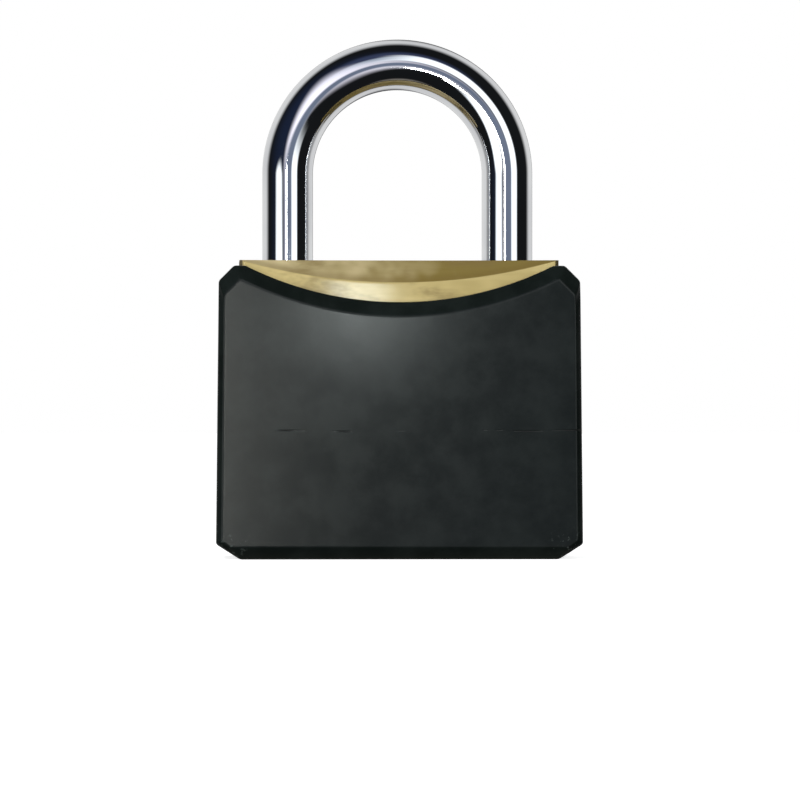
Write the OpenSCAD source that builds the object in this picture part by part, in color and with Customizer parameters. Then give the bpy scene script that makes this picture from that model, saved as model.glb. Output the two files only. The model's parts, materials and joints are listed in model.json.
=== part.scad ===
// Padlock with a jacketed brass body, a steel shackle locked by two balls, and a disc-detainer core.
// The lock stands on its foot: +Z runs up along the shackle, -Y is the front, and the origin is at the
// middle of the foot. It is drawn locked, with the discs set, so that the core is free to turn.

/* [Body] */
// Width of the brass body
body_w = 50; // [49:0.5:56]
// Thickness of the brass body, front to back
body_t = 18; // [18:0.5:22]
// Height of the top of the brass body above the foot of the jacket
body_top = 46.8; // [46:0.4:56]
// Depth of the crescent bevel at the middle of the top edge
bevel_drop = 3.6; // [2:0.2:3.8]
// How far the crescent bevel runs in from the face
bevel_run = 2.6; // [1:0.2:3]
// Radius of the crescent bevel on the face
bevel_r = 90; // [88:1:120]
// Chamfer on the standing edges of the brass body
body_chamfer = 0.6; // [0.2:0.1:0.8]

/* [Jacket] */
// Width of the jacket at its foot
jacket_w = 57.4; // [57:0.1:62]
// How much narrower each side is at the shoulders than at the foot
jacket_taper = 0.45; // [0.1:0.05:0.6]
// Thickness of the front and back walls of the jacket
jacket_wall = 3; // [2:0.25:4]
// Thickness of the jacket's floor
floor_t = 2.4; // [2:0.1:3]
// How far the shoulders of the jacket lie below the top of the brass
shoulder_step = 0.9; // [0.5:0.1:1.5]
// How far the lowest point of the scooped rim lies below the top of the brass
scoop_drop = 6.6; // [5:0.1:8]
// Radius of the scooped rim
scoop_r = 53.8; // [53:0.1:56]
// Width of the bevelled lip along the scooped rim
lip_w = 2.2; // [1:0.1:2.5]
// Depth of the bevelled lip
lip_depth = 1.5; // [0.5:0.1:1.8]
// Size of the cut on the jacket's upper corners
shoulder_cut = 2.4; // [1:0.1:3]
// Width of the cut on the jacket's lower corners
corner_cut_w = 3.8; // [1:0.1:4]
// Height of the cut on the jacket's lower corners
corner_cut_h = 2.4; // [1:0.1:3.5]
// Height of the bevel along the foot, front and back
foot_bevel = 1.9; // [0.5:0.1:2]
// Radius of the jacket's standing edges
edge_r = 1.2; // [0.5:0.1:2]

/* [Shackle] */
// Diameter of the shackle
shackle_d = 8; // [7:0.1:8.2]
// Distance between the centres of the legs
leg_span = 34.7; // [34:0.1:36]
// Height of the opening above the brass
window_h = 27.1; // [20:0.1:60]
// Depth to which the toe leg enters the body
toe_depth = 13.5; // [13:0.1:14]
// Extra lift that frees the toe leg above the brass
toe_free = 0.5; // [0.3:0.1:1]

/* [Locking balls] */
// Diameter of the locking balls
ball_d = 7; // [6.8:0.1:7]
// How far a locked ball reaches into a leg
ball_bite = 1; // [0.8:0.1:1]
// Travel of a ball over the whole turn of the core
ball_travel = 4.3; // [4.2:0.1:4.4]
// Depth of the ball centres below the top of the brass
ball_depth = 6.5; // [6.4:0.1:7]

/* [Core] */
// Number of discs
disc_count = 7; // [5:1:7]
// Thickness of a disc
disc_t = 2; // [1.6:0.1:2]
// Thickness of a spacer between discs
spacer_t = 1.2; // [0.8:0.1:1.2]
// Width of the keyway
keyway_w = 2.5; // [2.2:0.1:2.8]
// Length of the keyway across the core
keyway_l = 7; // [6:0.1:7]

/* [Hidden] */
$fn = 96;

plain_nodes = ["lock_body", "jacket", "jacket_screws", "shackle", "shackle_spring", "heel_retaining_pin",
               "core_retaining_pin", "cross_bore_plug", "locking_ball_toe", "locking_ball_heel",
               "drive_cam", "core_barrel", "core_face", "anti_drill_disc", "sidebar"];
disc_nodes = [for (i = [1 : disc_count]) str("disc_", i)];
spacer_nodes = [for (i = [1 : disc_count - 1]) str("spacer_", i)];

brass = [0.73, 0.64, 0.42];
black = [0.13, 0.14, 0.14];
chrome = [0.82, 0.84, 0.86];
steel = [0.55, 0.56, 0.58];
hard_steel = [0.36, 0.37, 0.40];

cut = 0.01;            // how far a cutter runs past the face it opens
press_gap = 0.02;      // radial gap around a pin that is pressed in
sink_gap = 0.1;        // free space at the end of a blind hole

// Shackle
leg_r = shackle_d / 2;
leg_x = leg_span / 2;
arch_z = body_top + window_h - (leg_x - leg_r);
leg_bore_r = leg_r + 0.1;
leg_bore_chamfer = 0.4;
toe_end = body_top - toe_depth;
toe_chamfer = 0.8;
lift = toe_depth + toe_free;
toe_room = 0.5;        // free space under the toe

// Locking balls
ball_r = ball_d / 2;
ball_x = leg_x - leg_r + ball_bite - ball_r;
ball_z = body_top - ball_depth;
ball_gap = 0.05;       // running gap around a ball
notch_r = ball_r + 0.15;
notch_play = 1.4;      // play of the locked shackle, upwards
notch_slack = 0.1;     // play of the locked shackle, downwards
cross_bore_r = ball_r + ball_gap;

// Heel: a neck that slides past the retaining pin, and a head that can't
neck_r = 2.6;
heel_pin_r = 1.5;
heel_pin_x = -leg_x + neck_r + heel_pin_r + 0.1;
heel_pin_z = toe_end - 2.3;
neck_top = heel_pin_z + heel_pin_r + 0.5;
head_top = heel_pin_z - heel_pin_r - 0.2 - lift;
head_h = 3;
heel_end = head_top - head_h;
heel_bore_z = floor_t + 3.6;
pin_front_skin = 1.5;  // brass left in front of a cross pin

// Spring under the heel, shown squeezed by the closed shackle
wire_r = 0.4;
coil_r = leg_r - wire_r - 0.4;
coil_turns = 6;
coil_steps = 20;       // rings in each turn
wire_sides = 8;
coil_low = heel_bore_z + wire_r + press_gap;
coil_high = heel_end - wire_r - press_gap;

// Core
core_bore_r = 7.5;
barrel_r = core_bore_r - 0.08;
pack_bore_r = 5.95;    // bore of the barrel, around the discs
disc_r = pack_bore_r - 0.07;
wall_overrun = 0.5;    // how far a cutter in the barrel's wall starts inside its bore
face_z = floor_t + 0.2;
face_h = 4;
barrel_z = face_z + face_h;
barrel_top = ball_z - ball_r - 0.4;
drill_disc_t = 1;
stack_z = barrel_z + drill_disc_t;
stack_h = disc_count * disc_t + (disc_count - 1) * spacer_t;
stack_top = stack_z + stack_h;
disc_pitch = disc_t + spacer_t;
chamber_top = ball_z + 2.6;

// Shallow step around the mouth of the keyway
keyway_lead = 0.4;
keyway_lead_h = 0.3;

// Groove and pin that hold the core in the body
core_pin_r = 1;
core_pin_x = barrel_r + 0.15;
core_pin_z = face_z + 2.1;
core_groove_h = 2 * core_pin_r + 0.2;
core_groove_r = core_pin_x - core_pin_r - 0.07;

// Tenons that turn the barrel with the face
tenon_w = 3;
tenon_h = 1.2;
tenon_gap = 0.03;

// Sidebar
sidebar_w = 1.9;
sidebar_in = 5.05;
sidebar_out = barrel_r - 0.05;
sidebar_gap = 0.1;
gate_r = sidebar_in - sidebar_gap;
body_groove_r = 1.4;

// Discs: the lug of each one moves in a groove of the barrel, and its slot stands at its own code
lug_r = 6.55;
lug_groove_r = 6.65;
lug_angle = 12;
lug_groove_angle = 55;
code_step = 15;
disc_codes = [0, 3, 1, 4, 2, 5, 1];
false_gate_r = disc_r - 0.4;
false_gate_angles = [62, 118];
spacer_hole_r = 3.8;

// Cam, a quarter turn from locked to open
core_turn = 90;
cam_h = 5;
cam_gap = ball_gap;
cam_tip_r = 7.1;
cam_step = 3;
cam_shaft_r = 2.8;
tang_w = 4.1;
tang_gap = 0.03;
tang_h = 5;

// Jacket
jacket_t = body_t + 2 * jacket_wall;
shoulder_z = body_top - shoulder_step;
scoop_z = body_top - scoop_drop + scoop_r;
draft = atan(jacket_taper / (shoulder_z - shoulder_cut));
foot_bevel_in = 1.2;
face_hole_r = 7;
face_hole_flare = 1;

// Jacket screws, on a diagonal clear of the leg bores
screw_x = 22;
screw_y = 5.5;
screw_r = 1.2;
screw_len = 6;
screw_head_r = 2.3;
screw_head_h = 1.3;
screw_sink = 0.2;
recess_w = 0.6;
recess_l = 2.4;
recess_h = 0.8;

// ---------------------------------------------------------------- helpers

// Cylinder along Y, from y0 to y1, at a place in the X-Z plane
module bar_y(x, z, y0, y1, r) {
    translate([x, y0, z])
        rotate([-90, 0, 0])
            cylinder(h = y1 - y0, r = r);
}

// Cylinder along X, from x0 to x1, through the ball centres
module bar_x(x0, x1, r) {
    translate([x0, 0, ball_z])
        rotate([0, 90, 0])
            cylinder(h = x1 - x0, r = r);
}

// Cylinder along Z, from z0 to z1
module bar_z(z0, z1, r) {
    translate([0, 0, z0])
        cylinder(h = z1 - z0, r = r);
}

// Ring around Z, from z0 to z1, over an arc centred on a direction
module arc_ring(z0, z1, r0, r1, half_angle, direction) {
    translate([0, 0, z0])
        rotate([0, 0, direction - half_angle])
            rotate_extrude(angle = 2 * half_angle)
                translate([r0, 0])
                    square([r1 - r0, z1 - z0]);
}

// Outline of a slot with round ends, along X
module slot_outline(length, width) {
    square([length - width, width], center = true);
    for (side = [-1, 1])
        translate([side * (length - width) / 2, 0])
            circle(d = width);
}

// Cone cutter for a bevel that follows a circle on the front face, mirrored for the back
module face_bevel_cutter(face_y, centre_z, face_r, inner_r, depth) {
    overrun = cut * (face_r - inner_r) / depth;
    for (side = [0, 1])
        mirror([0, side, 0])
            translate([0, -face_y - cut, centre_z])
                rotate([-90, 0, 0])
                    cylinder(h = depth + cut, r1 = face_r + overrun, r2 = inner_r, $fn = 240);
}

// ---------------------------------------------------------------- body

module lock_body() {
    color(brass)
    difference() {
        body_block();
        body_core_bore();
        body_leg_bores();
        body_cross_holes();
        body_screw_holes();
    }
}

module body_block() {
    half_w = body_w / 2;
    half_t = body_t / 2;
    c = body_chamfer;
    difference() {
        translate([0, 0, floor_t])
            linear_extrude(height = body_top - floor_t)
                polygon([[-half_w, -half_t + c], [-half_w + c, -half_t], [half_w - c, -half_t],
                         [half_w, -half_t + c], [half_w, half_t - c], [half_w - c, half_t],
                         [-half_w + c, half_t], [-half_w, half_t - c]]);
        face_bevel_cutter(half_t, body_top - bevel_drop + bevel_r, bevel_r, bevel_r - bevel_drop, bevel_run);
    }
}

// Bore for the core, its cam chamber, and the groove that the sidebar rests in when locked
module body_core_bore() {
    bar_z(floor_t - cut, chamber_top, core_bore_r);
    translate([core_bore_r, 0, 0])
        bar_z(stack_z - 0.2, stack_top + 0.2, body_groove_r);
}

module body_leg_bores() {
    for (leg = [[leg_x, toe_end - toe_room], [-leg_x, heel_bore_z]])
        translate([leg[0], 0, 0]) {
            bar_z(leg[1], body_top + cut, leg_bore_r);
            translate([0, 0, body_top - leg_bore_chamfer])
                cylinder(h = leg_bore_chamfer + cut, r1 = leg_bore_r, r2 = leg_bore_r + leg_bore_chamfer + cut);
        }
}

// Cross bore for the balls, open at the toe side, and the blind holes of the two cross pins
module body_cross_holes() {
    bar_x(-leg_x, body_w / 2 + cut, cross_bore_r);
    bar_y(heel_pin_x, heel_pin_z, -body_t / 2 + pin_front_skin, body_t / 2 + cut, heel_pin_r + press_gap);
    bar_y(core_pin_x, core_pin_z, -body_t / 2 + pin_front_skin, body_t / 2 + cut, core_pin_r + press_gap);
}

module body_screw_holes() {
    for (side = [-1, 1])
        translate([side * screw_x, side * screw_y, 0])
            bar_z(floor_t - cut, screw_sink + screw_len + sink_gap, screw_r + press_gap);
}

// ---------------------------------------------------------------- jacket

module jacket() {
    color(black)
    difference() {
        jacket_block();
        translate([-body_w / 2, -body_t / 2, floor_t])
            cube([body_w, body_t, body_top]);
        bar_y(0, scoop_z, -jacket_t, jacket_t, scoop_r, $fn = 240);
        face_bevel_cutter(jacket_t / 2, scoop_z, scoop_r + lip_w, scoop_r, lip_depth);
        jacket_floor_holes();
    }
}

module jacket_block() {
    intersection() {
        rotate([90, 0, 0])
            linear_extrude(height = jacket_t, center = true)
                jacket_front_outline();
        rotate([90, 0, 90])
            linear_extrude(height = jacket_w, center = true)
                jacket_side_outline();
        jacket_drafted_side();
        jacket_cut_shoulder();
        mirror([1, 0, 0])
            jacket_drafted_side();
        mirror([1, 0, 0])
            jacket_cut_shoulder();
    }
}

// Front outline, with the lower corners cut
module jacket_front_outline() {
    half_w = jacket_w / 2;
    polygon([[-half_w, corner_cut_h], [-half_w + corner_cut_w, 0], [half_w - corner_cut_w, 0],
             [half_w, corner_cut_h], [half_w, shoulder_z], [-half_w, shoulder_z]]);
}

// Side outline, with the bevels along the foot and the shoulders
module jacket_side_outline() {
    half_t = jacket_t / 2;
    lip_z = shoulder_z - lip_w;
    polygon([[-half_t, foot_bevel], [-half_t + foot_bevel_in, 0], [half_t - foot_bevel_in, 0],
             [half_t, foot_bevel], [half_t, lip_z], [half_t - lip_depth, shoulder_z],
             [-half_t + lip_depth, shoulder_z], [-half_t, lip_z]]);
}

// Block whose right side is the cut of the upper corner, with the lip along its edges
module jacket_cut_shoulder() {
    half_t = jacket_t / 2;
    length = 2 * jacket_w;
    translate([jacket_w / 2 - jacket_taper, 0, shoulder_z - shoulder_cut])
        rotate([0, -45, 0])
            linear_extrude(height = length, center = true)
                polygon([[-length, -half_t], [-lip_w, -half_t], [0, -half_t + lip_depth],
                         [0, half_t - lip_depth], [-lip_w, half_t], [-length, half_t]]);
}

// Block whose right side leans in by the draft angle, with rounded standing edges
module jacket_drafted_side() {
    translate([jacket_w / 2, 0, 0])
        rotate([0, -draft, 0])
            translate([0, 0, -edge_r])
                linear_extrude(height = body_top + 2 * edge_r)
                    rounded_right_edge(2 * jacket_w, jacket_t);
}

module rounded_right_edge(length, width) {
    translate([-length, -width / 2])
        square([length - edge_r, width]);
    translate([-length, -width / 2 + edge_r])
        square([length, width - 2 * edge_r]);
    for (side = [-1, 1])
        translate([-edge_r, side * (width / 2 - edge_r)])
            circle(r = edge_r);
}

// Hole around the face of the core, and countersunk holes for the screws
module jacket_floor_holes() {
    bar_z(-cut, floor_t + cut, face_hole_r);
    translate([0, 0, -cut])
        cylinder(h = face_hole_flare + cut, r1 = face_hole_r + face_hole_flare + cut, r2 = face_hole_r);
    for (side = [-1, 1])
        translate([side * screw_x, side * screw_y, 0]) {
            bar_z(-cut, floor_t + cut, screw_r + press_gap);
            bar_z(-cut, screw_sink, screw_head_r);
            translate([0, 0, screw_sink])
                cylinder(h = screw_head_h, r1 = screw_head_r, r2 = screw_r);
        }
}

module jacket_screws() {
    color(steel)
    for (side = [-1, 1])
        translate([side * screw_x, side * screw_y, screw_sink])
            jacket_screw();
}

module jacket_screw() {
    difference() {
        union() {
            cylinder(h = screw_head_h, r1 = screw_head_r, r2 = screw_r);
            bar_z(0, screw_len, screw_r);
        }
        for (turn = [0, 90])
            rotate([0, 0, turn])
                translate([0, 0, recess_h / 2 - cut])
                    cube([recess_l, recess_w, recess_h], center = true);
    }
}

// ---------------------------------------------------------------- shackle

module shackle() {
    color(chrome)
    difference() {
        union() {
            translate([0, 0, arch_z])
                rotate([90, 0, 0])
                    rotate_extrude(angle = 180)
                        translate([leg_x, 0])
                            circle(r = leg_r);
            translate([leg_x, 0, 0])
                shackle_toe();
            translate([-leg_x, 0, 0])
                shackle_heel();
        }
        for (side = [-1, 1])
            ball_notch(side * ball_x);
    }
}

module shackle_toe() {
    bar_z(toe_end + toe_chamfer, arch_z, leg_r);
    translate([0, 0, toe_end])
        cylinder(h = toe_chamfer, r1 = leg_r - toe_chamfer, r2 = leg_r);
}

module shackle_heel() {
    bar_z(neck_top, arch_z, leg_r);
    bar_z(head_top, neck_top, neck_r);
    bar_z(heel_end, head_top, leg_r);
}

// Rounded notch across a leg, with room for the play of the locked shackle
module ball_notch(x) {
    low = ball_z - notch_play;
    high = ball_z + notch_slack;
    for (z = [low, high])
        bar_y(x, z, -shackle_d, shackle_d, notch_r);
    translate([x - notch_r, -shackle_d, low])
        cube([2 * notch_r, 2 * shackle_d, high - low]);
}

// Ring of points around the wire at one step of the coil
function coil_ring(step) =
    let (turn = step / coil_steps, z = coil_low + (coil_high - coil_low) * turn / coil_turns)
    [for (k = [0 : wire_sides - 1])
        let (r = coil_r + wire_r * cos(360 * k / wire_sides))
        [r * cos(360 * turn), r * sin(360 * turn), z + wire_r * sin(360 * k / wire_sides)]];

module shackle_spring() {
    rings = coil_turns * coil_steps;
    points = [for (step = [0 : rings]) each coil_ring(step)];
    sides = [for (step = [0 : rings - 1], k = [0 : wire_sides - 1])
        let (next = (k + 1) % wire_sides, low = step * wire_sides, high = low + wire_sides)
        [low + k, high + k, high + next, low + next]];
    first_cap = [for (k = [0 : wire_sides - 1]) k];
    last_cap = [for (k = [0 : wire_sides - 1]) rings * wire_sides + wire_sides - 1 - k];
    color(steel)
    translate([-leg_x, 0, 0])
        polyhedron(points, concat([first_cap], sides, [last_cap]));
}

// ---------------------------------------------------------------- pins and plug

module heel_retaining_pin() {
    color(steel)
    bar_y(heel_pin_x, heel_pin_z, -body_t / 2 + pin_front_skin + sink_gap, body_t / 2, heel_pin_r);
}

module core_retaining_pin() {
    color(steel)
    bar_y(core_pin_x, core_pin_z, -body_t / 2 + pin_front_skin + sink_gap, body_t / 2, core_pin_r);
}

// Plug that closes the outer end of the cross bore
module cross_bore_plug() {
    color(brass)
    bar_x(leg_x + leg_bore_r + sink_gap, body_w / 2, cross_bore_r - press_gap);
}

// ---------------------------------------------------------------- balls and cam

module locking_ball(side) {
    color(chrome)
    translate([side * ball_x, 0, ball_z])
        sphere(r = ball_r);
}

// The ball centre follows a spiral over the cam: its distance falls evenly with the angle
pitch_slope = ball_travel / core_turn * 180 / PI;
function pitch_r(angle) = ball_x - ball_travel * angle / core_turn;

// Point of the cam that touches the ball, one ball radius and the gap inside the spiral
function cam_point(angle) =
    let (r = pitch_r(angle),
         offset_share = (ball_r + cam_gap) / norm([r, pitch_slope]),
         radial = r * (1 - offset_share),
         sideways = -pitch_slope * offset_share)
    [radial * cos(angle) - sideways * sin(angle), radial * sin(angle) + sideways * cos(angle)];

// A quarter of the cam's outline: the tip, the spiral flank, then the hollow that the ball rests in
flank = [for (angle = [cam_step : cam_step : 90]) cam_point(angle)];
hollow_angle = atan(pitch_slope / pitch_r(90));
hollow_r = ball_r + cam_gap;
hollow = [for (part = [1 : 4])
    let (angle = hollow_angle * (1 - part / 4))
    [hollow_r * sin(angle), pitch_r(90) - hollow_r * cos(angle)]];
quarter = concat([[0, 0], [cam_tip_r, 0]], [for (p = flank) if (p[1] > 0.1) p], hollow);

module drive_cam() {
    color(steel) {
        for (side_x = [0, 1], side_y = [0, 1])
            mirror([side_x, 0, 0])
                mirror([0, side_y, 0])
                    translate([0, 0, ball_z - cam_h / 2])
                        linear_extrude(height = cam_h)
                            polygon(quarter);
        bar_z(barrel_top, ball_z - cam_h / 2, cam_shaft_r);
        translate([0, 0, barrel_top - tang_h / 2])
            cube([tang_w, tang_w, tang_h], center = true);
    }
}

// ---------------------------------------------------------------- core

module keyway_cutter(z0, z1, direction) {
    translate([0, 0, z0])
        rotate([0, 0, direction])
            linear_extrude(height = z1 - z0)
                slot_outline(keyway_l, keyway_w);
}

module core_face() {
    groove_z = core_pin_z - core_groove_h / 2;
    color(brass)
    difference() {
        union() {
            bar_z(face_z, barrel_z, barrel_r);
            face_tenons(tenon_w, tenon_h);
        }
        arc_ring(groove_z, groove_z + core_groove_h, core_groove_r, barrel_r + 1, 180, 0);
        keyway_cutter(face_z - cut, barrel_z + cut, 0);
        translate([0, 0, face_z - cut])
            linear_extrude(height = keyway_lead_h + cut)
                slot_outline(keyway_l + 2 * keyway_lead, keyway_w + 2 * keyway_lead);
    }
}

// Two blocks across the wall of the barrel, front and back
module face_tenons(width, height) {
    intersection() {
        difference() {
            bar_z(barrel_z - cut, barrel_z + height, barrel_r);
            bar_z(barrel_z - 2 * cut, barrel_z + height + cut, pack_bore_r);
        }
        translate([-width / 2, -core_bore_r, barrel_z - cut])
            cube([width, 2 * core_bore_r, height + cut]);
    }
}

module core_barrel() {
    color(brass)
    difference() {
        bar_z(barrel_z, barrel_top, barrel_r);
        bar_z(barrel_z - cut, stack_top, pack_bore_r);
        arc_ring(barrel_z - cut, stack_top, pack_bore_r - wall_overrun, lug_groove_r, lug_groove_angle, 180);
        face_tenons(tenon_w + 2 * tenon_gap, tenon_h + tenon_gap);
        sidebar_slot();
        translate([0, 0, barrel_top - tang_h / 2])
            cube([tang_w + 2 * tang_gap, tang_w + 2 * tang_gap, tang_h + 4 * tang_gap], center = true);
    }
}

module sidebar_slot() {
    width = sidebar_w + 2 * sidebar_gap;
    translate([pack_bore_r - wall_overrun, -width / 2, stack_z])
        cube([barrel_r, width, stack_h]);
}

module sidebar() {
    round_r = sidebar_w / 2;
    low = stack_z + sidebar_gap;
    length = stack_h - 2 * sidebar_gap;
    color(hard_steel) {
        translate([sidebar_in, -round_r, low])
            cube([sidebar_out - round_r - sidebar_in, sidebar_w, length]);
        translate([sidebar_out - round_r, 0, low])
            cylinder(h = length, r = round_r);
    }
}

module anti_drill_disc() {
    color(hard_steel)
    difference() {
        bar_z(barrel_z, stack_z, disc_r);
        keyway_cutter(barrel_z - cut, stack_z + cut, 0);
    }
}

// Disc: a lug that limits its turn, a deep gate for the sidebar, two shallow false gates, and a slot
module lock_disc(i) {
    z = stack_z + (i - 1) * disc_pitch;
    gate_w = sidebar_w + 2 * sidebar_gap;
    color(brass)
    difference() {
        union() {
            bar_z(z, z + disc_t, disc_r);
            arc_ring(z, z + disc_t, disc_r - 1, lug_r, lug_angle, 180);
        }
        translate([gate_r, -gate_w / 2, z - cut])
            cube([disc_r, gate_w, disc_t + 2 * cut]);
        for (angle = false_gate_angles)
            rotate([0, 0, angle + disc_codes[i - 1] * code_step / 2])
                translate([false_gate_r, -gate_w / 2, z - cut])
                    cube([disc_r, gate_w, disc_t + 2 * cut]);
        keyway_cutter(z - cut, z + disc_t + cut, disc_codes[i - 1] * code_step);
    }
}

// Spacer: a washer with a nib that keeps it from turning, and a gap for the sidebar
module spacer(i) {
    z = stack_z + i * disc_pitch - spacer_t;
    gate_w = sidebar_w + 2 * sidebar_gap;
    color(steel)
    difference() {
        union() {
            bar_z(z, z + spacer_t, disc_r);
            arc_ring(z, z + spacer_t, disc_r - 1, lug_r, lug_angle / 2, 180);
        }
        bar_z(z - cut, z + spacer_t + cut, spacer_hole_r);
        translate([gate_r, -gate_w / 2, z - cut])
            cube([disc_r, gate_w, spacer_t + 2 * cut]);
    }
}

// ---------------------------------------------------------------- nodes

lock_body();
jacket();
jacket_screws();
shackle();
shackle_spring();
heel_retaining_pin();
core_retaining_pin();
cross_bore_plug();
locking_ball(1);  // locking_ball_toe
locking_ball(-1);  // locking_ball_heel
drive_cam();
core_barrel();
core_face();
anti_drill_disc();
sidebar();
for (i = [1 : disc_count])
    lock_disc(i);
for (i = [1 : disc_count - 1])
    spacer(i);
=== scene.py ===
"""Looks for the jacketed disc padlock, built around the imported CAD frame.

Every length is in metres in the row frame: +Z up along the shackle, the front face towards -Y, and the
origin at the middle of the foot. Outer sizes are read from the CAD nodes' boxes. The others are named
below: most repeat the CAD, and the small edges and roundings are the visual model's own.
"""

import json
import math

import bpy
import numpy as np
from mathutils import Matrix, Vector


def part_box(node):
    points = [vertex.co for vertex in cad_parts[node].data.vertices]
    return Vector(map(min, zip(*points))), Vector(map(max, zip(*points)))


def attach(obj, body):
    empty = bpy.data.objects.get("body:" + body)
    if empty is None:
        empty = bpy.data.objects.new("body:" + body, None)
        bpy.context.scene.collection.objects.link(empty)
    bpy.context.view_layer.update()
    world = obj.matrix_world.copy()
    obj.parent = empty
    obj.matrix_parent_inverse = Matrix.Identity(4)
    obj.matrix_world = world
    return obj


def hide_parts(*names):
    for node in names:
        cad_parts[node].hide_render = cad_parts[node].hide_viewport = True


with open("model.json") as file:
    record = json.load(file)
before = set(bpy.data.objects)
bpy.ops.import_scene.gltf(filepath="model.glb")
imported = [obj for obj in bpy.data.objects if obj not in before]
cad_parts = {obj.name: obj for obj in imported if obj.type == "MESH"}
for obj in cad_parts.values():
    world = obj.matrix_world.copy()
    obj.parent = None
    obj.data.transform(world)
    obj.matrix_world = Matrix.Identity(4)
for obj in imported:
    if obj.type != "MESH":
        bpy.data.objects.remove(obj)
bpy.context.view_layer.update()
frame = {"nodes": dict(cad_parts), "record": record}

MM = 0.001

# ------------------------------------------------------------------ sizes from the frame

JACKET_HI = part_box("jacket")[1]
BODY_LO, BODY_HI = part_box("lock_body")
SHACKLE_LO, SHACKLE_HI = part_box("shackle")
BALL_LO, BALL_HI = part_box("locking_ball_toe")
SPRING_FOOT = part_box("shackle_spring")[0].z

BODY_HALF_W = BODY_HI.x
BODY_HALF_T = BODY_HI.y
BODY_TOP = BODY_HI.z
JACKET_HALF_T = JACKET_HI.y
SHOULDER_Z = JACKET_HI.z
FLOOR_T = BODY_LO.z

LEG_R = SHACKLE_HI.y
LEG_X = SHACKLE_HI.x - LEG_R
ARCH_Z = SHACKLE_HI.z - LEG_X - LEG_R
HEEL_END = SHACKLE_LO.z

BALL_R = (BALL_HI.y - BALL_LO.y) / 2
BALL_X = (BALL_HI.x + BALL_LO.x) / 2
BALL_Z = (BALL_HI.z + BALL_LO.z) / 2

# Jacket
JACKET_FOOT_HALF_W = 28.7 * MM
JACKET_TAPER = 0.45 * MM
SHOULDER_CUT = 2.4 * MM
CORNER_CUT_W = 3.8 * MM
CORNER_CUT_H = 2.4 * MM
SCOOP_R = 53.8 * MM
SCOOP_LOW = BODY_TOP - 6.6 * MM
LIP_W = 2.2 * MM
LIP_DEPTH = 1.5 * MM
FOOT_BEVEL_W = 1.9 * MM
FOOT_BEVEL_DEPTH = 1.2 * MM
EDGE_W = 0.85 * MM
CORNER_ROUND = 0.4 * MM
JACKET_ROUND = 0.3 * MM
SEAT_GAP = 0.12 * MM
SCOOP_HALF_W = 24 * MM
MOULD_LINE_Z = 20.1 * MM
OUTLINE_POINTS = 440

# Holes in the jacket's floor
FACE_OPENING_R = 7 * MM
SCREW_HEAD_R = 2.3 * MM
SCREW_SHANK_R = 1.22 * MM
SCREW_CONE_H = 1.3 * MM

# How far the ring in the flat face of a bevelled block lies inside the rounding of its bevel
FLAT_MARGIN = 0.1 * MM

# Brass body
CRESCENT_R = 90 * MM
CRESCENT_DROP = 3.6 * MM
CRESCENT_RUN = 2.6 * MM
BODY_EDGE = 0.6 * MM
BODY_ROUND = 0.12 * MM
LEG_BORE_R = LEG_R + 0.1 * MM
LEG_BORE_MOUTH = 0.4 * MM
CORE_BORE_R = 7.5 * MM
CAM_CHAMBER_RISE = 2.6 * MM

# Shackle
TOE_DEPTH = 13.5 * MM
TOE_END = BODY_TOP - TOE_DEPTH
NECK_R = 2.6 * MM
NECK_TOP = TOE_END - 0.3 * MM
HEAD_TOP = HEEL_END + 3 * MM
NOTCH_R = BALL_R + 0.15 * MM
NOTCH_PLAY = 1.4 * MM
NOTCH_SLACK = 0.1 * MM
HEEL_ROUND = 0.5 * MM
TOE_ROUND = 0.8 * MM


# ------------------------------------------------------------------ mesh helpers

def add_mesh(name, points, faces, smooth_angle=35):
    """A mesh object from points and faces, shaded smooth up to an angle in degrees."""
    mesh = bpy.data.meshes.new(name)
    mesh.from_pydata([tuple(p) for p in points], [], [tuple(f) for f in faces])
    mesh.validate()
    obj = bpy.data.objects.new(name, mesh)
    bpy.context.scene.collection.objects.link(obj)
    shade(obj, smooth_angle)
    return obj


def shade(obj, smooth_angle):
    """Smooth shading with sharp edges above an angle in degrees."""
    obj.data.shade_smooth()
    obj.data.set_sharp_from_angle(angle=math.radians(smooth_angle))


def freeze(obj):
    """Applies every modifier of a piece."""
    graph = bpy.context.evaluated_depsgraph_get()
    mesh = bpy.data.meshes.new_from_object(obj.evaluated_get(graph))
    obj.modifiers.clear()
    obj.data = mesh


def carve(obj, cutters):
    """Cuts every cutter out of a piece, and removes the cutters."""
    for cutter in cutters:
        mod = obj.modifiers.new("cut", "BOOLEAN")
        mod.operation = "DIFFERENCE"
        mod.solver = "EXACT"
        mod.object = cutter
        freeze(obj)
        bpy.data.objects.remove(cutter)


def rod(radius_a, radius_b, start, end, sides=96):
    """A closed rod or cone between two points, used as a cutter."""
    start, end = Vector(start), Vector(end)
    along = (end - start).normalized()
    helper = Vector((1, 0, 0)) if abs(along.x) < 0.5 else Vector((0, 1, 0))
    u = along.cross(helper).normalized()
    v = along.cross(u)
    points = []
    for centre, radius in ((start, radius_a), (end, radius_b)):
        for k in range(sides):
            a = 2 * math.pi * k / sides
            points.append(centre + u * (radius * math.cos(a)) + v * (radius * math.sin(a)))
    faces = [(k, (k + 1) % sides, sides + (k + 1) % sides, sides + k) for k in range(sides)]
    faces.append(tuple(reversed(range(sides))))
    faces.append(tuple(range(sides, 2 * sides)))
    return add_mesh("cutter", points, faces)


def block(low, high):
    """A closed box between two corners, used as a cutter."""
    points = [(x, y, z) for x in (low[0], high[0]) for y in (low[1], high[1]) for z in (low[2], high[2])]
    faces = [(0, 1, 3, 2), (4, 6, 7, 5), (0, 4, 5, 1), (2, 3, 7, 6), (0, 2, 6, 4), (1, 5, 7, 3)]
    return add_mesh("cutter", points, faces)


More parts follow.
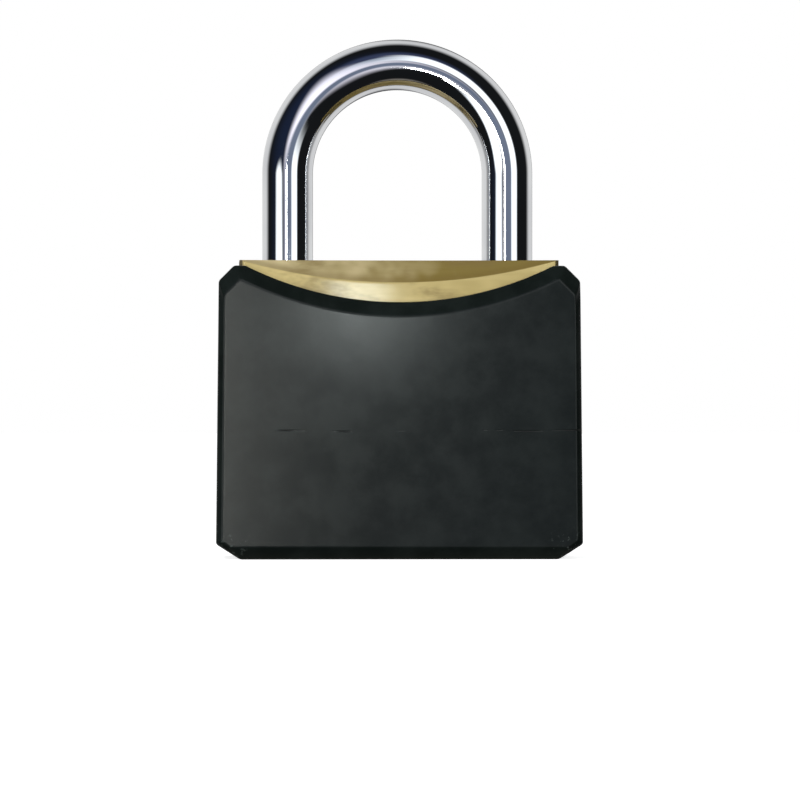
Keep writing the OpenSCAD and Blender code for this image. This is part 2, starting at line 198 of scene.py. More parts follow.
def smoothstep(low, high, value):
    """0 below low, 1 above high, and smooth between them."""
    t = np.clip((np.asarray(value, float) - low) / (high - low), 0, 1)
    return t * t * (3 - 2 * t)


def arc(centre, radius, start, end, count=48):
    """Points of an arc between two angles in degrees."""
    angles = np.radians(np.linspace(start, end, count))
    return [(centre[0] + radius * math.cos(a), centre[1] + radius * math.sin(a)) for a in angles]


def round_corners(path, radius):
    """A polyline whose inner corners are rounded off."""
    path = [np.array(p, float) for p in path]
    out = [path[0]]
    for before, corner, after in zip(path, path[1:], path[2:]):
        back = before - corner
        ahead = after - corner
        reach = min(radius, np.linalg.norm(back) * 0.45, np.linalg.norm(ahead) * 0.45)
        start = corner + back / np.linalg.norm(back) * reach
        end = corner + ahead / np.linalg.norm(ahead) * reach
        for t in np.linspace(0, 1, 9):
            out.append((1 - t) ** 2 * start + 2 * t * (1 - t) * corner + t * t * end)
    out.append(path[-1])
    return out


def resample(path, partners, count, bend_weight=3 * MM):
    """count + 1 points along a polyline, closer where it bends, and its partners' matching points."""
    steps = np.diff(path, axis=0)
    lengths = np.linalg.norm(steps, axis=1)
    angles = np.unwrap(np.arctan2(steps[:, 1], steps[:, 0]))
    bends = np.abs(np.diff(angles))
    weight = lengths.copy()
    weight[:-1] += bend_weight * bends / 2
    weight[1:] += bend_weight * bends / 2
    total = np.concatenate([[0], np.cumsum(weight)])
    wanted = np.linspace(0, total[-1], count + 1)
    return [np.stack([np.interp(wanted, total, line[:, k]) for k in (0, 1)], axis=1)
            for line in (path, *partners)]


def meet(edge_a, edge_b):
    """Where two edges of a counter-clockwise outline meet, each a start, an end and how far it is set in."""
    normals, levels = [], []
    for start, end, inset in (edge_a, edge_b):
        along = np.subtract(end, start)
        normal = np.array([-along[1], along[0]]) / np.linalg.norm(along)
        normals.append(normal)
        levels.append(normal @ np.array(start) + inset)
    return np.linalg.solve(normals, levels)


def edge_profile(width, depth, fillet, steps=5):
    """Rings of (inset, depth) for a chamfer with rounded ends, from the face to the side, per loop point."""
    length = np.hypot(width, depth)
    run_in, run_back = -width / length, depth / length
    fillet = np.minimum(fillet, 0.48 * length)
    corners = (
        ((width + fillet, 0 * depth), (width, 0 * depth), (width + run_in * fillet, run_back * fillet)),
        ((-run_in * fillet, depth - run_back * fillet), (0 * width, depth), (0 * width, depth + fillet)),
    )
    rings = []
    for start, corner, end in corners:
        for t in np.linspace(0, 1, steps):
            rings.append(tuple((1 - t) ** 2 * a + 2 * t * (1 - t) * c + t * t * b
                               for a, c, b in zip(start, corner, end)))
    return rings


def bevelled_block(name, outlines, half_t, depth, fillet):
    """A closed block with the same bevelled face in front and behind.

    outlines are three matching counter-clockwise outlines in the X-Z plane: of the block, of its flat face,
    and of a ring that lies in the flat face, to keep its shading flat. depth is the bevel's depth at each
    point."""
    outer, inner, flat = outlines
    count = len(outer)
    width = np.linalg.norm(inner - outer, axis=1)
    beyond = np.linalg.norm(flat - inner, axis=1)
    profile = [(width + beyond, 0 * depth)] + edge_profile(width, depth, fillet)
    points = []
    for side in (-1, 1):
        for inset, back in profile[::-side]:
            within = np.clip(inset / width, 0, 1)[:, None]
            past = np.clip((inset - width) / beyond, 0, 1)[:, None]
            ring = outer + (inner - outer) * within + (flat - inner) * past
            points.extend(np.stack([ring[:, 0], side * (half_t - back), ring[:, 1]], axis=1))
    rings = 2 * len(profile)
    faces = [tuple(range(count)), tuple(reversed(range((rings - 1) * count, rings * count)))]
    for r in range(rings - 1):
        for k in range(count):
            nxt = (k + 1) % count
            faces.append((r * count + k, (r + 1) * count + k, (r + 1) * count + nxt, r * count + nxt))
    return add_mesh(name, points, faces)


# ------------------------------------------------------------------ jacket

def jacket_half_width(z):
    return JACKET_FOOT_HALF_W - JACKET_TAPER * z / (SHOULDER_Z - SHOULDER_CUT)


def jacket_half_outline(side, foot, lip):
    """Right half of the jacket's front outline, set in along its side, its foot and its lip."""
    cut_z = SHOULDER_Z - SHOULDER_CUT
    toe = (JACKET_FOOT_HALF_W - CORNER_CUT_W, 0)
    ankle = (jacket_half_width(CORNER_CUT_H), CORNER_CUT_H)
    elbow = (jacket_half_width(cut_z), cut_z)
    peak = (elbow[0] - SHOULDER_CUT, SHOULDER_Z)
    edges = [((0, 0), toe, foot), (toe, ankle, side), (ankle, elbow, side), (elbow, peak, lip),
             (peak, (0, SHOULDER_Z), lip)]
    corners = [(0, foot)] + [meet(before, after) for before, after in zip(edges, edges[1:])]
    scoop_z = SCOOP_LOW + SCOOP_R
    scoop_end = math.degrees(math.asin((scoop_z - SHOULDER_Z + lip) / (SCOOP_R + lip)))
    scoop = arc((0, scoop_z), SCOOP_R + lip, 360 - scoop_end, 270, 90)
    return round_corners(corners + [scoop[0], scoop[3]], CORNER_ROUND) + scoop[4:]


def jacket_outlines():
    """The outlines of the jacket, of its flat face and of the ring in it, counter-clockwise."""
    lines = []
    for inset, more in ((0, 0), (1, 0), (1, JACKET_ROUND + FLAT_MARGIN)):
        right = np.array(jacket_half_outline(*(inset * w + more for w in (EDGE_W, FOOT_BEVEL_W, LIP_W))))
        left = right[::-1] * (-1, 1)
        lines.append(np.concatenate([right, left[1:]]))
    return [line[:-1] for line in resample(lines[0], lines[1:], OUTLINE_POINTS)]


def jacket_bevel_depth(outer):
    """Depth of the bevel: deep along the lip, less along the foot, slight up the sides."""
    x, z = np.abs(outer[:, 0]), outer[:, 1]
    cut_z = SHOULDER_Z - SHOULDER_CUT
    on_scoop = (x < SCOOP_HALF_W) & (z > BODY_TOP / 2)
    lip = np.maximum(smoothstep(cut_z - 3.5 * MM, cut_z + 1.0 * MM, z), on_scoop)
    foot_end = JACKET_FOOT_HALF_W - CORNER_CUT_W
    foot = (1 - smoothstep(foot_end - 0.5 * MM, foot_end + 2 * MM, x)) * (z < BODY_TOP / 2)
    return EDGE_W + (LIP_DEPTH - EDGE_W) * lip + (FOOT_BEVEL_DEPTH - EDGE_W) * foot


def make_jacket():
    outlines = jacket_outlines()
    depth = jacket_bevel_depth(outlines[0])
    obj = bevelled_block("jacket_shell", outlines, JACKET_HALF_T, depth, JACKET_ROUND)
    gap_x, gap_y = BODY_HALF_W + SEAT_GAP, BODY_HALF_T + SEAT_GAP
    screw_lo, screw_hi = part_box("jacket_screws")
    flare = 1 * MM
    cutters = [
        block((-gap_x, -gap_y, FLOOR_T), (gap_x, gap_y, 2 * BODY_TOP)),
        rod(FACE_OPENING_R, FACE_OPENING_R, (0, 0, -flare), (0, 0, 2 * FLOOR_T)),
        rod(FACE_OPENING_R + 2 * flare, FACE_OPENING_R, (0, 0, -flare), (0, 0, flare)),
    ]
    for side in (-1, 1):
        x, y = side * (screw_hi.x - SCREW_HEAD_R), side * (screw_hi.y - SCREW_HEAD_R)
        seat, neck = screw_lo.z - 0.01 * MM, screw_lo.z + SCREW_CONE_H
        cutters.append(rod(SCREW_SHANK_R, SCREW_SHANK_R, (x, y, -flare), (x, y, 2 * FLOOR_T)))
        cutters.append(rod(SCREW_HEAD_R, SCREW_HEAD_R, (x, y, -flare), (x, y, screw_lo.z)))
        cutters.append(rod(SCREW_HEAD_R, SCREW_SHANK_R, (x, y, seat), (x, y, neck)))
    carve(obj, cutters)
    shade(obj, 35)
    obj.data.materials.append(jacket_plastic())
    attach(obj, "housing")
    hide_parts("jacket")
    return obj


# ------------------------------------------------------------------ brass body

def body_outlines():
    """The outlines of the brass, of its flat face and of the ring in it, and the depth of the bevel."""
    w, low, high = BODY_HALF_W, FLOOR_T, BODY_TOP
    along = np.linspace(-w, w, 101)
    upward = np.linspace(low, high, 41)
    bottom = [(x, low) for x in along[:-1]]
    right = [(w, z) for z in upward]
    top = [(x, high) for x in along[-2:0:-1]]
    left = [(-w, z) for z in upward[:0:-1]]
    outer = np.array(bottom + right + top + left)
    lines = [outer]
    for more in (0, BODY_ROUND + FLAT_MARGIN):
        edge = BODY_EDGE + more
        x = outer[:, 0] * (w - edge) / w
        crescent = CRESCENT_DROP - CRESCENT_R + np.sqrt(CRESCENT_R ** 2 - x ** 2)
        share = (outer[:, 1] - low) / (high - low)
        lines.append(np.stack([x, low + edge + share * (high - crescent - more - low - edge)], axis=1))
    on_top = (outer[:, 1] == high) & (np.abs(outer[:, 0]) < w)
    drop = high - lines[1][:, 1]
    depth = np.where(on_top, drop * CRESCENT_RUN / CRESCENT_DROP, BODY_EDGE)
    return lines, depth


def make_body():
    outlines, depth = body_outlines()
    obj = bevelled_block("brass_block", outlines, BODY_HALF_T, depth, BODY_ROUND)
    below = FLOOR_T - 1 * MM
    above = BODY_TOP + 1 * MM
    cross_bore_r = BALL_R + 0.05 * MM
    mouth_low, mouth_high = BODY_TOP - LEG_BORE_MOUTH, BODY_TOP + LEG_BORE_MOUTH
    mouth_r = LEG_BORE_R + 2 * LEG_BORE_MOUTH
    cutters = [
        rod(CORE_BORE_R, CORE_BORE_R, (0, 0, below), (0, 0, BALL_Z + CAM_CHAMBER_RISE)),
        rod(cross_bore_r, cross_bore_r, (-LEG_X, 0, BALL_Z), (BODY_HALF_W + 1 * MM, 0, BALL_Z)),
    ]
    for x, low in ((LEG_X, TOE_END - 0.5 * MM), (-LEG_X, SPRING_FOOT - 0.02 * MM)):
        cutters.append(rod(LEG_BORE_R, LEG_BORE_R, (x, 0, low), (x, 0, above)))
        cutters.append(rod(LEG_BORE_R, mouth_r, (x, 0, mouth_low), (x, 0, mouth_high)))
    for pin in ("heel_retaining_pin", "core_retaining_pin"):
        lo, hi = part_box(pin)
        x, z, r = (lo.x + hi.x) / 2, (lo.z + hi.z) / 2, (hi.x - lo.x) / 2 + 0.02 * MM
        cutters.append(rod(r, r, (x, lo.y - 0.1 * MM, z), (x, BODY_HALF_T + 1 * MM, z), 48))
    carve(obj, cutters)
    shade(obj, 32)
    obj.data.materials.append(brushed_brass())
    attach(obj, "housing")
    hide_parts("lock_body")
    return obj


# ------------------------------------------------------------------ shackle

def shackle_path():
    """Stations along the shackle from the heel to the toe: place, inward direction and radius."""
    stations = []

    def leg(side, z, radius):
        stations.append(((side * LEG_X, z), (-side, 0.0), radius))

    for turn in np.linspace(0, math.pi / 2, 6):
        leg(-1, HEEL_END + HEEL_ROUND * (1 - math.cos(turn)), LEG_R - HEEL_ROUND * (1 - math.sin(turn)))
    for turn in np.linspace(math.pi / 2, 0, 6):
        leg(-1, HEAD_TOP - HEEL_ROUND * (1 - math.cos(turn)), LEG_R - HEEL_ROUND * (1 - math.sin(turn)))
    leg(-1, HEAD_TOP, NECK_R)
    for z in np.linspace(HEAD_TOP, NECK_TOP, 20)[1:]:
        leg(-1, z, NECK_R)
    leg(-1, NECK_TOP + HEEL_ROUND, LEG_R)
    for z in np.linspace(NECK_TOP + HEEL_ROUND, ARCH_Z, 40)[1:]:
        leg(-1, z, LEG_R)
    for a in np.linspace(180, 0, 181)[1:-1]:
        c, s = math.cos(math.radians(a)), math.sin(math.radians(a))
        stations.append(((LEG_X * c, ARCH_Z + LEG_X * s), (-c, -s), LEG_R))
    for z in np.linspace(ARCH_Z, TOE_END + TOE_ROUND, 40):
        leg(1, z, LEG_R)
    for turn in np.linspace(0, math.pi / 2, 8)[1:]:
        leg(1, TOE_END + TOE_ROUND * (1 - math.sin(turn)), LEG_R - TOE_ROUND * (1 - math.cos(turn)))
    return stations


def make_shackle():
    sides = 80
    stations = shackle_path()
    points = []
    for (x, z), (nx, nz), radius in stations:
        for k in range(sides):
            a = 2 * math.pi * k / sides
            u, v = radius * math.cos(a), radius * math.sin(a)
            points.append((x + nx * u, v, z + nz * u))
    faces = []
    for r in range(len(stations) - 1):
        for k in range(sides):
            nxt = (k + 1) % sides
            a, b = r * sides, (r + 1) * sides
            faces.append((a + k, b + k, b + nxt, a + nxt))
    faces.append(tuple(range(sides)))
    last = (len(stations) - 1) * sides
    faces.append(tuple(reversed(range(last, last + sides))))
    obj = add_mesh("shackle_bar", points, faces)
    wide = 2 * LEG_R
    low, high = BALL_Z - NOTCH_PLAY, BALL_Z + NOTCH_SLACK
    cutters = []
    for side in (-1, 1):
        x = side * BALL_X
        cutters.append(rod(NOTCH_R, NOTCH_R, (x, -wide, low), (x, wide, low)))
        cutters.append(rod(NOTCH_R, NOTCH_R, (x, -wide, high), (x, wide, high)))
        cutters.append(block((x - NOTCH_R, -wide, low), (x + NOTCH_R, wide, high)))
    carve(obj, cutters)
    shade(obj, 32)
    obj.data.materials.append(chrome())
    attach(obj, "shackle")
    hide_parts("shackle")
    return obj


# ------------------------------------------------------------------ materials

def new_material(name):
    """A material with an empty Principled shader. Returns the material, its nodes and a wiring function."""
    mat = bpy.data.materials.new(name)
    mat.use_nodes = True
    tree = mat.node_tree
    tree.nodes.clear()
    out = tree.nodes.new("ShaderNodeOutputMaterial")
    shader = tree.nodes.new("ShaderNodeBsdfPrincipled")
    tree.links.new(shader.outputs["BSDF"], out.inputs["Surface"])
    coords = tree.nodes.new("ShaderNodeTexCoord")
    return mat, tree, shader, coords.outputs["Object"]


def stretch(tree, vector, scale):
    """Object coordinates scaled per axis."""
    node = tree.nodes.new("ShaderNodeMapping")
    node.inputs["Scale"].default_value = scale
    tree.links.new(vector, node.inputs["Vector"])
    return node.outputs["Vector"]


def noise(tree, vector, scale, detail=3.0, roughness=0.5):
    node = tree.nodes.new("ShaderNodeTexNoise")
    node.inputs["Scale"].default_value = scale
    node.inputs["Detail"].default_value = detail
    node.inputs["Roughness"].default_value = roughness
    tree.links.new(vector, node.inputs["Vector"])
    return node.outputs["Fac"]


def remap(tree, value, in_low, in_high, out_low, out_high):
    node = tree.nodes.new("ShaderNodeMapRange")
    node.interpolation_type = "SMOOTHSTEP"
    node.inputs["From Min"].default_value = in_low
    node.inputs["From Max"].default_value = in_high
    node.inputs["To Min"].default_value = out_low
    node.inputs["To Max"].default_value = out_high
    tree.links.new(value, node.inputs["Value"])
    return node.outputs["Result"]


def math_node(tree, operation, a, b):
    node = tree.nodes.new("ShaderNodeMath")
    node.operation = operation
    for socket, value in zip(node.inputs, (a, b)):
        if isinstance(value, (int, float)):
            socket.default_value = value
        else:
            tree.links.new(value, socket)
    return node.outputs["Value"]


def mix_colour(tree, factor, colour_a, colour_b):
    node = tree.nodes.new("ShaderNodeMix")
    node.data_type = "RGBA"
    for name, value in (("A", colour_a), ("B", colour_b)):
        socket = [s for s in node.inputs if s.name == name and s.type == "RGBA"][0]
        if isinstance(value, tuple):
            socket.default_value = (*value, 1)
        else:
            tree.links.new(value, socket)
    tree.links.new(factor, [s for s in node.inputs if s.name == "Factor" and s.type == "VALUE"][0])
    return [s for s in node.outputs if s.type == "RGBA"][0]


def bump(tree, height, distance, strength=1.0, normal=None):
    node = tree.nodes.new("ShaderNodeBump")
    node.inputs["Strength"].default_value = strength
    node.inputs["Distance"].default_value = distance
    tree.links.new(height, node.inputs["Height"])
    if normal is not None:
        tree.links.new(normal, node.inputs["Normal"])
    return node.outputs["Normal"]


def axis_of(tree, vector, axis):
    node = tree.nodes.new("ShaderNodeSeparateXYZ")
    tree.links.new(vector, node.inputs["Vector"])
    return node.outputs[axis]


def jacket_plastic():
    """Black satin moulded plastic: faintly mottled, scuffed at its foot's corners, with a mould line."""
    mat, tree, shader, place = new_material("black_satin_plastic")
    blotches = noise(tree, place, 160, 4, 0.6)
    fine = noise(tree, place, 2600, 3, 0.6)
    line = mould_line(tree, place)
    scuffs = foot_scuffs(tree, place)
    mottle = remap(tree, blotches, 0.35, 0.68, 0, 1)
    colour = mix_colour(tree, mottle, (0.0062, 0.0088, 0.0078), (0.0105, 0.0140, 0.0128))
    colour = mix_colour(tree, line, colour, (0.004, 0.004, 0.004))
    colour = mix_colour(tree, scuffs, colour, (0.10, 0.12, 0.11))
    tree.links.new(colour, shader.inputs["Base Color"])
    broad = remap(tree, blotches, 0.3, 0.7, 0.20, 0.235)
    satin = math_node(tree, "ADD", broad, remap(tree, fine, 0.3, 0.7, 0, 0.03))
    worn = math_node(tree, "ADD", line, scuffs)
    rough = math_node(tree, "ADD", satin, math_node(tree, "MULTIPLY", worn, 0.3))
    tree.links.new(rough, shader.inputs["Roughness"])
    shader.inputs["Specular IOR Level"].default_value = 0.20
    waves = bump(tree, noise(tree, place, 120, 2, 0.5), 0.03 * MM)
    grain = bump(tree, fine, 0.004 * MM, 1.0, waves)
    groove = bump(tree, math_node(tree, "SUBTRACT", 1.0, line), 0.05 * MM, 1.0, grain)
    tree.links.new(groove, shader.inputs["Normal"])
    return mat


def foot_scuffs(tree, place):
    """Fine pale scuffs in the plastic near the cut corners of the foot."""
    side = math_node(tree, "ABSOLUTE", axis_of(tree, place, "X"), 0)
    outer = remap(tree, side, 22.5 * MM, 26 * MM, 0, 1)
    low = remap(tree, axis_of(tree, place, "Z"), 2 * MM, 5.5 * MM, 1, 0)
    specks = remap(tree, noise(tree, place, 1500, 3, 0.6), 0.56, 0.70, 0, 0.55)
    return math_node(tree, "MULTIPLY", specks, math_node(tree, "MULTIPLY", outer, low))


def mould_line(tree, place):
    """A hairline round the jacket, 20 mm above its foot, which comes and goes."""
    height = axis_of(tree, place, "Z")
    drift = remap(tree, noise(tree, place, 90, 2, 0.5), 0.3, 0.7, -0.12 * MM, 0.12 * MM)
    above = math_node(tree, "SUBTRACT", math_node(tree, "ADD", height, drift), MOULD_LINE_Z)
    level = math_node(tree, "ABSOLUTE", above, 0)
    hairline = remap(tree, level, 0.05 * MM, 0.14 * MM, 1, 0)
    broken = remap(tree, noise(tree, stretch(tree, place, (1, 1, 0)), 140, 2, 0.5), 0.50, 0.60, 0, 0.8)
    return math_node(tree, "MULTIPLY", hairline, broken)


def brushed_brass():
    """Lacquered satin brass, brushed along the width. Its cut faces carry painted light across X: pale on
    the left, with painted shade towards the right. They also get painted shade next to the front face, and
    the side edges get a painted shadow.
    """
    mat, tree, shader, place = new_material("brushed_brass")
    across = axis_of(tree, place, "X")
    lines = noise(tree, stretch(tree, place, (1, 14, 26)), 55, 3, 0.55)
    patches = noise(tree, stretch(tree, place, (0.5, 1, 1.3)), 190, 4, 0.6)
    tone = noise(tree, place, 90, 3, 0.6)
    face = mix_colour(tree, remap(tree, tone, 0.35, 0.68, 0, 1), (0.55, 0.43, 0.17), (0.68, 0.545, 0.235))
    # Painted light: the cut faces are painted pale on the left and dark on the right, as if lit from the
    # upper left; noise wobbles where the change falls.
    painted_light_falloff = remap(tree, math_node(tree, "ADD", across, remap(tree, tone, 0.3, 0.7, -8 * MM, 8 * MM)),
                   -0.75 * BODY_HALF_W, 0.3 * BODY_HALF_W, 0, 1)
    cut = mix_colour(tree, painted_light_falloff, (0.75, 0.62, 0.345), (0.28, 0.205, 0.052))
    depth = math_node(tree, "ABSOLUTE", axis_of(tree, place, "Y"), 0)
    milled = remap(tree, depth, BODY_HALF_T - 0.12 * MM, BODY_HALF_T - 0.02 * MM, 1, 0)
    # Painted shade: the cut faces are painted darker brown near the front face.
    painted_rim_shade = remap(tree, depth, BODY_HALF_T - 1.1 * MM, BODY_HALF_T - 0.3 * MM, 0, 0.45)
    cut = mix_colour(tree, painted_rim_shade, cut, (0.22, 0.145, 0.035))
    colour = mix_colour(tree, milled, face, cut)
    colour = mix_colour(tree, remap(tree, patches, 0.47, 0.70, 0, 0.7), colour, (0.27, 0.19, 0.065))
    # Painted shadow: a dark strip down both side edges of the brass, standing in for the shaded gap beside
    # the jacket.
    edge = remap(tree, math_node(tree, "ABSOLUTE", across, 0),
                 BODY_HALF_W - 0.9 * BODY_EDGE, BODY_HALF_W - 0.6 * BODY_EDGE, 0, 0.8)
    colour = mix_colour(tree, edge, colour, (0.08, 0.06, 0.03))
    tree.links.new(colour, shader.inputs["Base Color"])
    shader.inputs["Metallic"].default_value = 0.3
    shader.inputs["Coat Weight"].default_value = 0.22
    shader.inputs["Coat Roughness"].default_value = 0.11
    tree.links.new(remap(tree, lines, 0.40, 0.66, 0.74, 0.60), shader.inputs["Roughness"])
    tree.links.new(bump(tree, lines, 0.02 * MM), shader.inputs["Normal"])
    return mat


def chrome():
    """Polished chrome plate with the faintest waviness and hairline polish marks."""
    mat, tree, shader, place = new_material("polished_chrome")
    waves = noise(tree, place, 90, 2, 0.5)
    marks = noise(tree, stretch(tree, place, (1, 1, 12)), 500, 3, 0.6)
    colour = mix_colour(tree, remap(tree, waves, 0.4, 0.65, 0, 1), (0.66, 0.67, 0.70), (0.74, 0.75, 0.77))
    tree.links.new(colour, shader.inputs["Base Color"])
    shader.inputs["Metallic"].default_value = 1.0
    tree.links.new(remap(tree, marks, 0.45, 0.75, 0.04, 0.06), shader.inputs["Roughness"])
    tree.links.new(bump(tree, waves, 0.006 * MM), shader.inputs["Normal"])
    return mat


def turned_metal(name, dark, light, rough_low, rough_high):
    """Machined metal with rings about Z and a slight change of tone, for the small inner pieces."""
    mat, tree, shader, place = new_material(name)
    rings = noise(tree, stretch(tree, place, (1, 1, 40)), 260, 3, 0.6)
    tone = noise(tree, place, 240, 3, 0.6)
    colour = mix_colour(tree, remap(tree, tone, 0.35, 0.68, 0, 1), dark, light)
    tree.links.new(colour, shader.inputs["Base Color"])
    shader.inputs["Metallic"].default_value = 1.0
    tree.links.new(remap(tree, rings, 0.3, 0.7, rough_low, rough_high), shader.inputs["Roughness"])
    tree.links.new(bump(tree, rings, 0.006 * MM), shader.inputs["Normal"])
    return mat


def finish_cad_nodes(replaced):
    """Gives each carried-over CAD node the material of its record slot."""
    looks = {
        "brass_body": turned_metal("plug_brass", (0.50, 0.37, 0.155), (0.68, 0.54, 0.26), 0.26, 0.42),
        "core_brass": turned_metal("turned_brass", (0.55, 0.42, 0.19), (0.72, 0.58, 0.30), 0.22, 0.38),
        "disc_brass": turned_metal("stamped_brass", (0.58, 0.45, 0.21), (0.74, 0.60, 0.33), 0.28, 0.42),
        "core_steel": turned_metal("turned_steel", (0.36, 0.36, 0.38), (0.50, 0.50, 0.52), 0.25, 0.40),
        "pin_steel": turned_metal("ground_steel", (0.38, 0.38, 0.40), (0.50, 0.50, 0.52), 0.20, 0.34),
        "hard_steel": turned_metal("hardened_steel", (0.14, 0.14, 0.16), (0.24, 0.24, 0.26), 0.30, 0.45),
        "spring_steel": turned_metal("spring_wire", (0.34, 0.34, 0.37), (0.46, 0.46, 0.49), 0.25, 0.38),
        "screw_steel": turned_metal("plated_screws", (0.46, 0.46, 0.45), (0.60, 0.60, 0.58), 0.24, 0.36),
        "ball_steel": turned_metal("polished_balls", (0.58, 0.59, 0.61), (0.68, 0.69, 0.71), 0.05, 0.10),
    }
    slots = {row["node"]: row["material_slot"] for row in frame["record"]["subparts"]}
    for name, obj in frame["nodes"].items():
        if name in replaced:
            continue
        obj.data.materials.clear()
        obj.data.materials.append(looks[slots[name]])


# ------------------------------------------------------------------ studio

def make_floor():
    """A plain pale floor, seen only from above."""
    radius, sides = 3.0, 128
    points = [(radius * math.cos(2 * math.pi * k / sides), radius * math.sin(2 * math.pi * k / sides), 0)
              for k in range(sides)]
    floor = add_mesh("floor", points, [tuple(range(sides))])
    mat, tree, shader, place = new_material("pale_floor")
    tone = noise(tree, place, 4, 2, 0.5)
    colour = mix_colour(tree, tone, (0.88, 0.88, 0.88), (0.92, 0.92, 0.92))
    tree.links.new(colour, shader.inputs["Base Color"])
    shader.inputs["Roughness"].default_value = 0.9
    shader.inputs["Specular IOR Level"].default_value = 0.1
    shader.inputs["Emission Color"].default_value = (1, 1, 1, 1)
    shader.inputs["Emission Strength"].default_value = 0.8
    clear = tree.nodes.new("ShaderNodeBsdfTransparent")
    pick = tree.nodes.new("ShaderNodeMixShader")
    tree.links.new(tree.nodes.new("ShaderNodeNewGeometry").outputs["Backfacing"], pick.inputs["Fac"])
    tree.links.new(shader.outputs["BSDF"], pick.inputs[1])
    tree.links.new(clear.outputs["BSDF"], pick.inputs[2])
    tree.links.new(pick.outputs["Shader"], tree.nodes["Material Output"].inputs["Surface"])
    floor.data.materials.append(mat)
    floor.visible_glossy = False
    floor.visible_diffuse = False
    floor.visible_shadow = False


def near_light(name, place, size, power, colour=(1, 1, 1)):
    """A rectangular light close to the lock, unseen by the camera, that faces the lock level."""
    data = bpy.data.lights.new(name, "AREA")
    data.shape = "RECTANGLE"
    data.size, data.size_y = size
    data.energy = power
    data.color = colour
    light = bpy.data.objects.new(name, data)
    bpy.context.scene.collection.objects.link(light)
    light.location = place
    aim = Vector((0, 0, place[2])) - light.location
    light.rotation_mode = "QUATERNION"
    light.rotation_quaternion = aim.to_track_quat("-Z", "Y")
    light.visible_camera = False
    return light


def make_lights():
    near_light("lamp", Vector((-3, -132, 43)) * MM, (10 * MM, 10 * MM), 0.017, (0.92, 1, 0.98))
    near_light("strip", Vector((-44, -262, 25)) * MM, (14 * MM, 100 * MM), 0.096, (1, 1, 0.92))
    fill = near_light("fill", Vector((-150, -250, 300)) * MM, (120 * MM, 120 * MM), 0.75)
    fill.rotation_quaternion = (-fill.location).to_track_quat("-Z", "Y")
    fill.visible_glossy = False


def vector_node(tree, operation, a, b=None):
    """A vector maths node. Returns its vector, or its value for a length."""
    node = tree.nodes.new("ShaderNodeVectorMath")
    node.operation = operation
    tree.links.new(a, node.inputs[0])
    if isinstance(b, tuple):
        node.inputs[1].default_value = b
    elif b is not None:
        tree.links.new(b, node.inputs[1])
    return node.outputs["Value" if operation == "LENGTH" else "Vector"]


def card(tree, ball, centre, half_size, turn=0.0, soft=0.25):
    """How far a direction lies inside an oval card, in the coordinates of a mirror ball."""
    shifted = vector_node(tree, "SUBTRACT", ball, (centre[0], 0, centre[1]))
    spin = tree.nodes.new("ShaderNodeVectorRotate")
    spin.rotation_type = "Y_AXIS"
    spin.inputs["Angle"].default_value = math.radians(turn)
    tree.links.new(shifted, spin.inputs["Vector"])
    scaled = vector_node(tree, "MULTIPLY", spin.outputs["Vector"], (1 / half_size[0], 0, 1 / half_size[1]))
    return remap(tree, vector_node(tree, "LENGTH", scaled), 1 - soft, 1 + soft, 1, 0)


def band(tree, value, low, high, soft):
    """1 between two limits, with soft ends."""
    rise = remap(tree, value, low - soft, low + soft, 0, 1)
    fall = remap(tree, value, high - soft, high + soft, 1, 0)
    return math_node(tree, "MULTIPLY", rise, fall)


def mirror_ball(tree, way, side):
    """Where a mirror ball shows a direction. side is SUBTRACT for a ball in front, ADD for one behind."""
    ahead = math_node(tree, side, 1.0, axis_of(tree, way, "Y"))
    spread = math_node(tree, "POWER", math_node(tree, "MULTIPLY", ahead, 2.0), -0.5)
    shrink = tree.nodes.new("ShaderNodeVectorMath")
    shrink.operation = "SCALE"
    tree.links.new(way, shrink.inputs[0])
    tree.links.new(spread, shrink.inputs["Scale"])
    return vector_node(tree, "MULTIPLY", shrink.outputs["Vector"], (1, 0, 1))


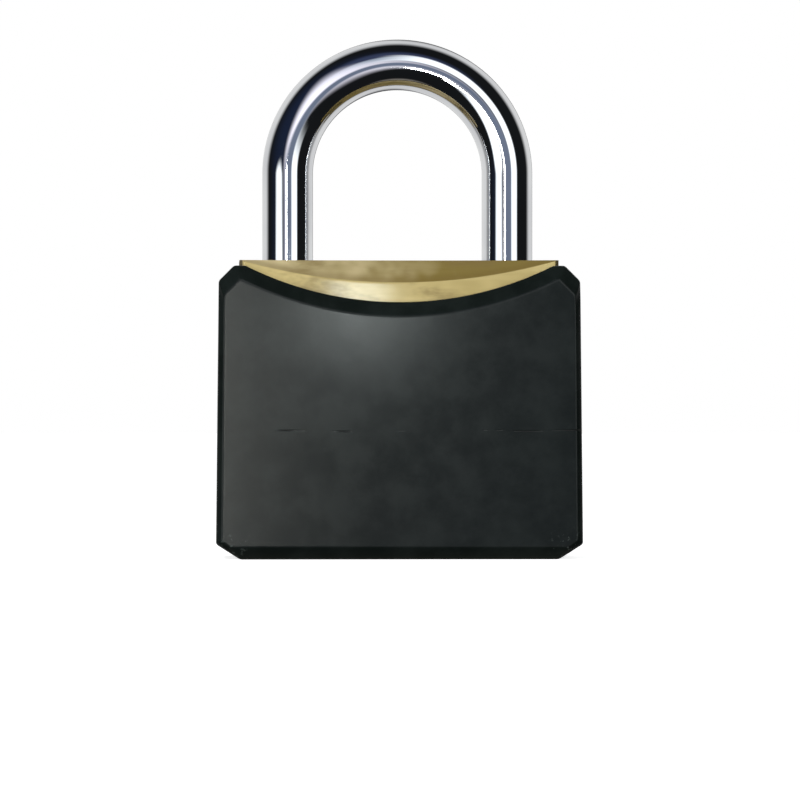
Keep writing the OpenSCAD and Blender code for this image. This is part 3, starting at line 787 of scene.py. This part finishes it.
def make_world():
    """A dark room, white behind the lock and with a few white cards in front, for bands in the chrome."""
    world = bpy.data.worlds.new("studio")
    bpy.context.scene.world = world
    world.use_nodes = True
    tree = world.node_tree
    tree.nodes.clear()
    out = tree.nodes.new("ShaderNodeOutputWorld")
    coords = tree.nodes.new("ShaderNodeTexCoord")
    way = coords.outputs["Generated"]
    ball = mirror_ball(tree, way, "SUBTRACT")
    back_ball = mirror_ball(tree, way, "ADD")
    radius = vector_node(tree, "LENGTH", ball)
    angle = math_node(tree, "ARCTAN2", axis_of(tree, ball, "Z"), axis_of(tree, ball, "X"))
    arch = math_node(tree, "MULTIPLY", band(tree, radius, 0.15, 0.36, 0.03),
                     band(tree, angle, math.radians(-10), math.radians(84), 0.25))
    parts = (
        (card(tree, ball, (-0.25, 0.20), (0.34, 0.30), 0, 0.6), (0.013, 0.020, 0.045)),
        (card(tree, ball, (-0.02, 0.33), (0.24, 0.13), 0, 0.5), (0.05, 0.065, 0.13)),
        (card(tree, ball, (0.0, 0.22), (0.20, 0.08), 0, 0.4), (0.45, 0.52, 0.62)),
        (card(tree, ball, (-0.07, 0.09), (0.08, 0.24), 35, 0.85), (1.6, 1.55, 1.7)),
        (card(tree, ball, (0.03, 0.0), (0.16, 0.07), 0, 0.5), (0.20, 0.24, 0.33)),
        (card(tree, ball, (-0.30, -0.08), (0.19, 0.12), -22, 0.2), (1.75, 1.82, 1.85)),
        (arch, (1.75, 1.82, 1.85)),
        (card(tree, ball, (0.0, -0.74), (0.40, 0.16), 0, 0.3), (0.30, 0.27, 0.23)),
        (remap(tree, radius, 0.73, 0.87, 0, 1), (0.85, 0.85, 0.84)),
        (card(tree, back_ball, (0.06, 0.0), (0.11, 0.30), 0, 0.5), (0.04, 0.04, 0.045)),
    )
    colour = (0.010, 0.011, 0.012)
    for factor, tint in parts:
        colour = mix_colour(tree, factor, colour, tint)
    lit = tree.nodes.new("ShaderNodeBackground")
    tree.links.new(colour, lit.inputs["Color"])
    seen = tree.nodes.new("ShaderNodeBackground")
    seen.inputs["Color"].default_value = (1, 1, 1, 1)
    path = tree.nodes.new("ShaderNodeLightPath")
    pick = tree.nodes.new("ShaderNodeMixShader")
    tree.links.new(path.outputs["Is Camera Ray"], pick.inputs["Fac"])
    tree.links.new(lit.outputs["Background"], pick.inputs[1])
    tree.links.new(seen.outputs["Background"], pick.inputs[2])
    tree.links.new(pick.outputs["Shader"], out.inputs["Surface"])


def make_camera():
    """The photograph's view: level with the middle of the jacket, and 2 degrees to the left of square on."""
    frame_w = 124.6 * MM
    aim = Vector((0, -JACKET_HALF_T, 24.9 * MM))
    distance = 0.8
    sideways = -28 * MM
    data = bpy.data.cameras.new("camera")
    data.sensor_width = 36
    data.lens = data.sensor_width * distance / frame_w
    data.dof.use_dof = False
    camera = bpy.data.objects.new("camera", data)
    bpy.context.scene.collection.objects.link(camera)
    camera.location = aim + Vector((sideways, -distance, 0))
    camera.rotation_mode = "QUATERNION"
    camera.rotation_quaternion = (aim - camera.location).to_track_quat("-Z", "Y")
    bpy.context.scene.camera = camera


# ------------------------------------------------------------------ build

make_camera()
make_lights()
make_world()
make_floor()
bpy.context.scene.view_settings.view_transform = "Standard"

make_jacket()
make_body()
make_shackle()
finish_cad_nodes({"jacket", "lock_body", "shackle"})
